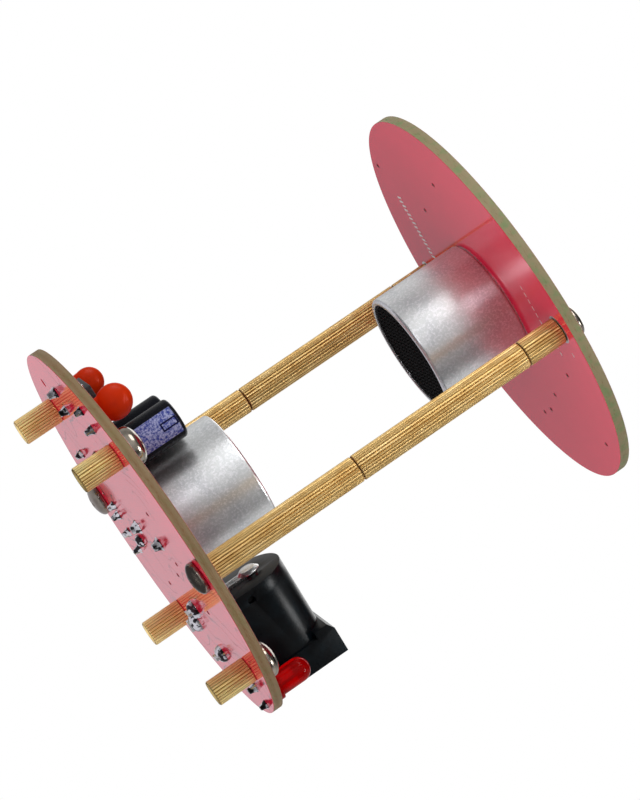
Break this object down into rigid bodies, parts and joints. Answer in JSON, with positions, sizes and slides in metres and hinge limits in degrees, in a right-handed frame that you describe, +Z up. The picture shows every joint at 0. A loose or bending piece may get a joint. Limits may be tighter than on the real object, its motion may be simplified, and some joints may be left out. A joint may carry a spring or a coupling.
{
  "type": "ultrasonic levitator kit",
  "caption": "Two round red circuit boards on knurled brass columns and feet, with facing ultrasonic transducers, a power socket, an indicator light and small through-hole parts.",
  "frame": {"origin": "centre of the footprint, on the surface the feet stand on", "axes": "+Z up along the columns and the sound axis, +X out of the power socket, +Y from the front column to the rear one"},
  "size_m": [0.05, 0.05, 0.057],
  "materials": {
    "red_laminate": "glossy red solder mask over glass-fibre laminate",
    "knurled_brass": "straight knurled brass",
    "nickel_screw": "nickel-plated steel",
    "satin_aluminium": "satin aluminium",
    "black_resin": "black resin",
    "silicone": "white silicone",
    "ceramic_disc": "fired ceramic",
    "black_grille": "black mesh",
    "black_moulding": "black moulded plastic",
    "spring_brass": "bright spring brass",
    "red_lens": "clear red epoxy",
    "printed_sleeve": "black shrink sleeve with a blue-violet panel",
    "rubber_bung": "black rubber",
    "orange_dip": "dipped orange-red lacquer",
    "chip_epoxy": "black epoxy",
    "resistor_lacquer": "tan lacquer",
    "solder": "bright solder",
    "tinned_lead": "tinned wire"
  },
  "bodies": {
    "levitator": {"base_board": "red_laminate", "top_board": "red_laminate", "front_post_lower": "knurled_brass", "front_post_middle": "knurled_brass", "front_post_tip": "knurled_brass", "rear_post_lower": "knurled_brass", "rear_post_middle": "knurled_brass", "rear_post_tip": "knurled_brass", "foot_front_left": "knurled_brass", "foot_front_right": "knurled_brass", "foot_rear_left": "knurled_brass", "foot_rear_right": "knurled_brass", "column_base_screws": "nickel_screw", "column_top_screws": "nickel_screw", "foot_screws": "nickel_screw", "lower_can": "satin_aluminium", "lower_base_plug": "black_resin", "lower_pins": "tinned_lead", "lower_seal_ring": "silicone", "lower_piezo_disc": "ceramic_disc", "lower_bender_plate": "satin_aluminium", "lower_cone": "satin_aluminium", "lower_grille": "black_grille", "upper_can": "satin_aluminium", "upper_base_plug": "black_resin", "upper_pins": "tinned_lead", "upper_seal_ring": "silicone", "upper_piezo_disc": "ceramic_disc", "upper_bender_plate": "satin_aluminium", "upper_cone": "satin_aluminium", "upper_grille": "black_grille", "jack_body": "black_moulding", "jack_centre_pin": "tinned_lead", "jack_sleeve_terminal": "tinned_lead", "jack_side_terminal": "tinned_lead", "led_lens": "red_lens", "led_leads": "tinned_lead", "electrolytic_cans": "satin_aluminium", "electrolytic_sleeves": "printed_sleeve", "electrolytic_bungs": "rubber_bung", "electrolytic_leads": "tinned_lead", "ceramic_capacitor_large": "orange_dip", "ceramic_capacitor_small": "orange_dip", "ceramic_leads": "tinned_lead", "driver_chip": "chip_epoxy", "driver_chip_leads": "tinned_lead", "regulator": "chip_epoxy", "regulator_leads": "tinned_lead", "resistor_body": "resistor_lacquer", "resistor_leads": "tinned_lead", "base_solder": "solder", "top_solder": "solder"},
    "contact_leaf": {"jack_contact_leaf": "spring_brass"}
  },
  "joints": [
    {"name": "contact_leaf_flex", "type": "hinge", "parent": "levitator", "child": "contact_leaf", "pos_m": [0.0137, 0, 0.00765], "axis": [0, 1, 0], "range_deg": [0, 5.5], "stiffness_Nm_per_rad": 0.03}
  ]
}
